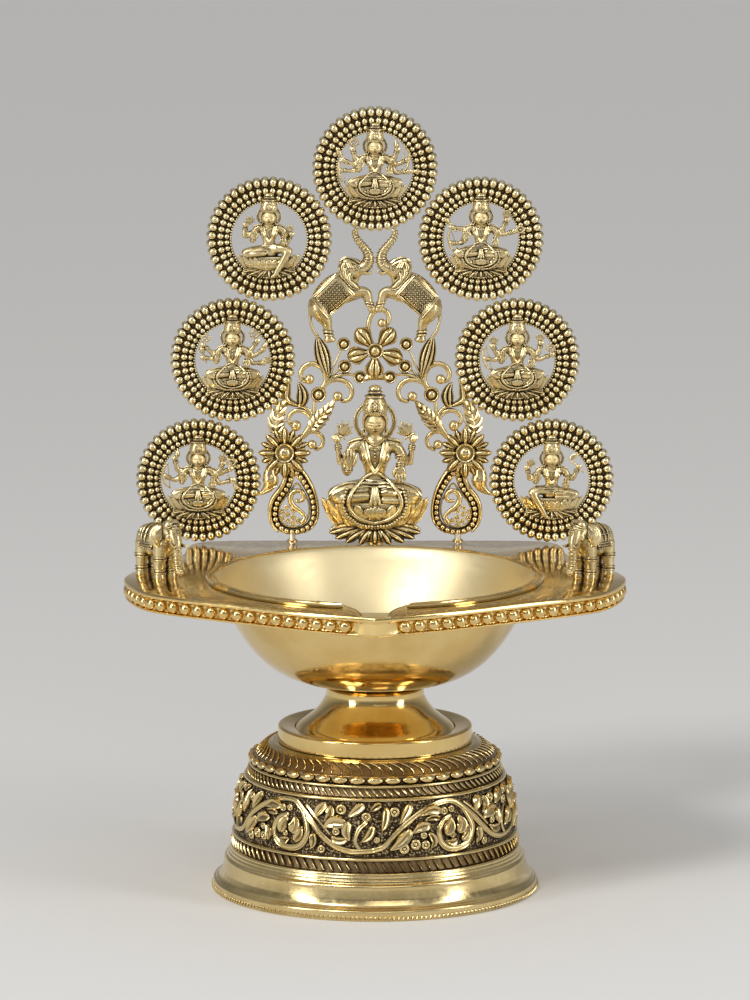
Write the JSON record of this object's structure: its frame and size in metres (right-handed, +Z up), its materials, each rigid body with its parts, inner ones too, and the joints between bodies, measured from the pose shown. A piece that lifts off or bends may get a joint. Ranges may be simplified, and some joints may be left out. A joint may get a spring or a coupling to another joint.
{
  "type": "oil lamp",
  "caption": "Brass oil lamp: hollow chased pedestal, waisted neck, oil bowl with an open wick lip in a pointed tray, and an upright openwork screen of ringed seated figures.",
  "frame": {"origin": "on the table, under the common axis of the pedestal, neck and bowl", "axes": "+Z up, +Y from the bowl towards the screen, so the wick lip points to -Y, and +X to the right as seen from the front"},
  "size_m": [0.232, 0.2011, 0.3538],
  "materials": {
    "polished_brass": "polished, mirror-like on the tray and neck, satin inside the bowl",
    "chased_brass": "polished high spots with a dark brown patina left in the chased recesses",
    "antique_brass": "antiqued: buffed high spots over a dark brown patina",
    "steel": "plain machined fasteners"
  },
  "bodies": {
    "root": {"pedestal": "chased_brass", "collar_ring": "polished_brass", "neck": "polished_brass", "oil_bowl": "polished_brass", "tray": "polished_brass", "bowl_stud": "steel", "stud_washer": "steel", "stud_nut": "steel", "elephant_left": "antique_brass", "elephant_right": "antique_brass", "elephant_screw_left": "steel", "elephant_screw_right": "steel", "rearing_elephant_left": "antique_brass", "rearing_elephant_right": "antique_brass", "vine_left": "antique_brass", "vine_right": "antique_brass", "peacock_left": "antique_brass", "peacock_right": "antique_brass", "daisy_left": "antique_brass", "daisy_right": "antique_brass", "blossom": "antique_brass", "blossom_curl": "antique_brass", "medallion_lower_left": "antique_brass", "figure_lower_left": "antique_brass", "medallion_middle_left": "antique_brass", "figure_middle_left": "antique_brass", "medallion_upper_left": "antique_brass", "figure_upper_left": "antique_brass", "medallion_top": "antique_brass", "figure_top": "antique_brass", "medallion_upper_right": "antique_brass", "figure_upper_right": "antique_brass", "medallion_middle_right": "antique_brass", "figure_middle_right": "antique_brass", "medallion_lower_right": "antique_brass", "figure_lower_right": "antique_brass", "goddess": "antique_brass", "goddess_lotus": "antique_brass", "goddess_halo": "antique_brass", "screen_screw_1": "steel", "screen_washer_1": "steel", "screen_screw_2": "steel", "screen_washer_2": "steel", "screen_screw_3": "steel", "screen_washer_3": "steel"}
  },
  "joints": []
}
